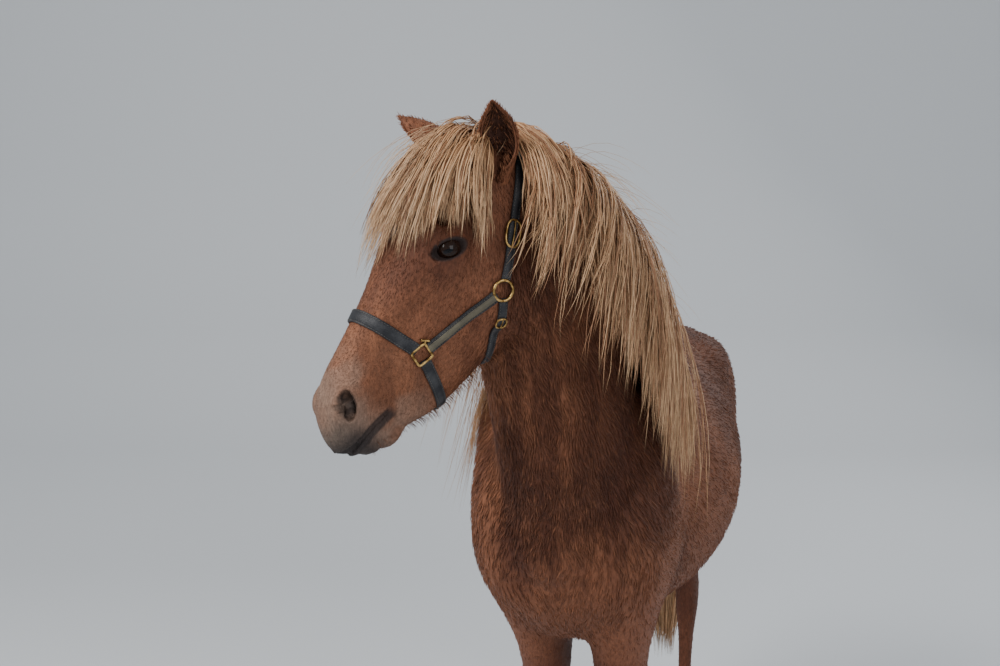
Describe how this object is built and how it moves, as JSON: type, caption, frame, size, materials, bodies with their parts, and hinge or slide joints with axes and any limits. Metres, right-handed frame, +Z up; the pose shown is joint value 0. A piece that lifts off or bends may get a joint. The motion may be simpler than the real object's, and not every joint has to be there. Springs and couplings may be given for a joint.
{
  "type": "icelandic horse",
  "caption": "Life-size still model of a stocky long-maned pony breed standing with its head turned, wearing a leather halter.",
  "frame": {"origin": "on the floor, under the middle of the bounding box", "axes": "+X towards the head end along the body, +Y towards the horse's left side, +Z up"},
  "size_m": [2.0048, 0.616, 1.829],
  "materials": {
    "coat": "short reddish-brown winter coat",
    "flaxen_hair": "long pale flaxen hair",
    "horn": "dull dark hoof horn",
    "eye": "wet gloss, dark brown",
    "leather": "worn dark grey leather",
    "brass": "tarnished brass"
  },
  "bodies": {
    "root": {"head": "coat", "neck": "coat", "torso": "coat", "leg_front_left": "coat", "leg_front_right": "coat", "leg_hind_left": "coat", "leg_hind_right": "coat", "hoof_front_left": "horn", "hoof_front_right": "horn", "hoof_hind_left": "horn", "hoof_hind_right": "horn", "eye_left": "eye", "eye_right": "eye", "ear_left": "coat", "ear_right": "coat", "mane": "flaxen_hair", "forelock": "flaxen_hair", "tail": "flaxen_hair", "ring_nose_left": "brass", "ring_nose_right": "brass", "ring_cheek_left": "brass", "ring_cheek_right": "brass", "noseband": "leather", "chin_strap": "leather", "cheek_strap_left": "leather", "cheek_strap_right": "leather", "crown_strap": "leather", "throat_strap": "leather"}
  },
  "joints": []
}
